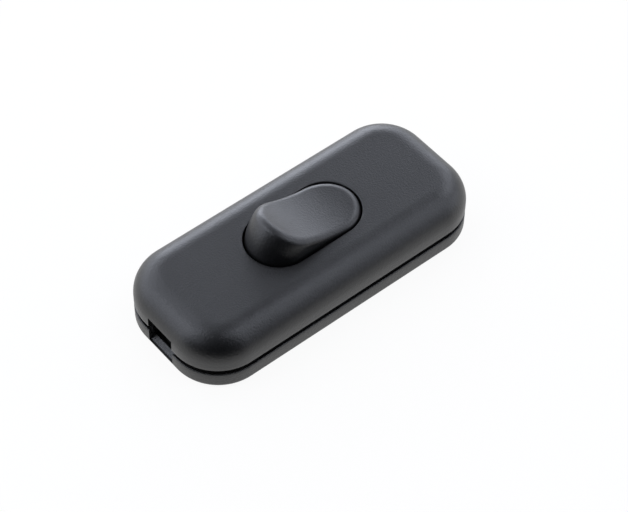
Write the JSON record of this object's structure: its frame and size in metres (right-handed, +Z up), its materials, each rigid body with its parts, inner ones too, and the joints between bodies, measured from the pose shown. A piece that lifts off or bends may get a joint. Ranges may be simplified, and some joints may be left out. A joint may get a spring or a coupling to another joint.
{
  "type": "inline cord switch",
  "caption": "Slim two-shell inline cord switch with a soft-shouldered housing, an oblong see-saw rocker on top and a rectangular cord inlet at each end.",
  "frame": {"origin": "middle of the flat underside of the bottom cover", "axes": "+X along the cord towards the pressed end of the rocker, +Y across the body, +Z up out of the rocker's face"},
  "size_m": [0.062, 0.027, 0.0172],
  "materials": {
    "housing_plastic": "fine satin moulded texture",
    "rocker_plastic": "fine satin moulded texture",
    "clamp_plastic": "plain moulded",
    "nylon": "natural nylon",
    "spring_steel": "drawn wire",
    "plated_steel": "zinc plated",
    "brass": "stamped",
    "bronze": "stamped",
    "silver": "headed rivet"
  },
  "bodies": {
    "housing": {"upper_housing": "housing_plastic", "bottom_cover": "housing_plastic", "fixed_contact": "silver", "common_terminal": "brass", "switched_terminal": "brass", "terminal_saddles": "plated_steel", "terminal_screws": "plated_steel", "neutral_connector": "brass", "neutral_screws": "plated_steel", "near_cord_clamp": "clamp_plastic", "far_cord_clamp": "clamp_plastic", "clamp_screws": "plated_steel", "housing_screws": "plated_steel"},
    "rocker": {"rocker": "rocker_plastic", "plunger_spring": "spring_steel"},
    "plunger": {"plunger": "nylon"},
    "contact_bar": {"contact_bar": "bronze", "moving_contact": "silver"}
  },
  "joints": [
    {"name": "rocker_tilt", "type": "hinge", "parent": "housing", "child": "rocker", "pos_m": [0, 0, 0.00935], "axis": [0, -1, 0], "range_deg": [0, 31.2]},
    {"name": "plunger_slide", "type": "slide", "parent": "rocker", "child": "plunger", "axis": [0.2689, 0, 0.9632], "range_m": [0, 0.0004], "stiffness_N_per_m": 300, "springref_m": -0.0008, "deforming": ["plunger_spring"]},
    {"name": "contact_tilt", "type": "hinge", "parent": "housing", "child": "contact_bar", "pos_m": [0, 0, 0.00385], "axis": [0, 1, 0], "range_deg": [0, 14]}
  ],
  "couplings": [
    {"joint": "contact_tilt", "follows": "rocker_tilt", "ratio": 0.4487}
  ]
}
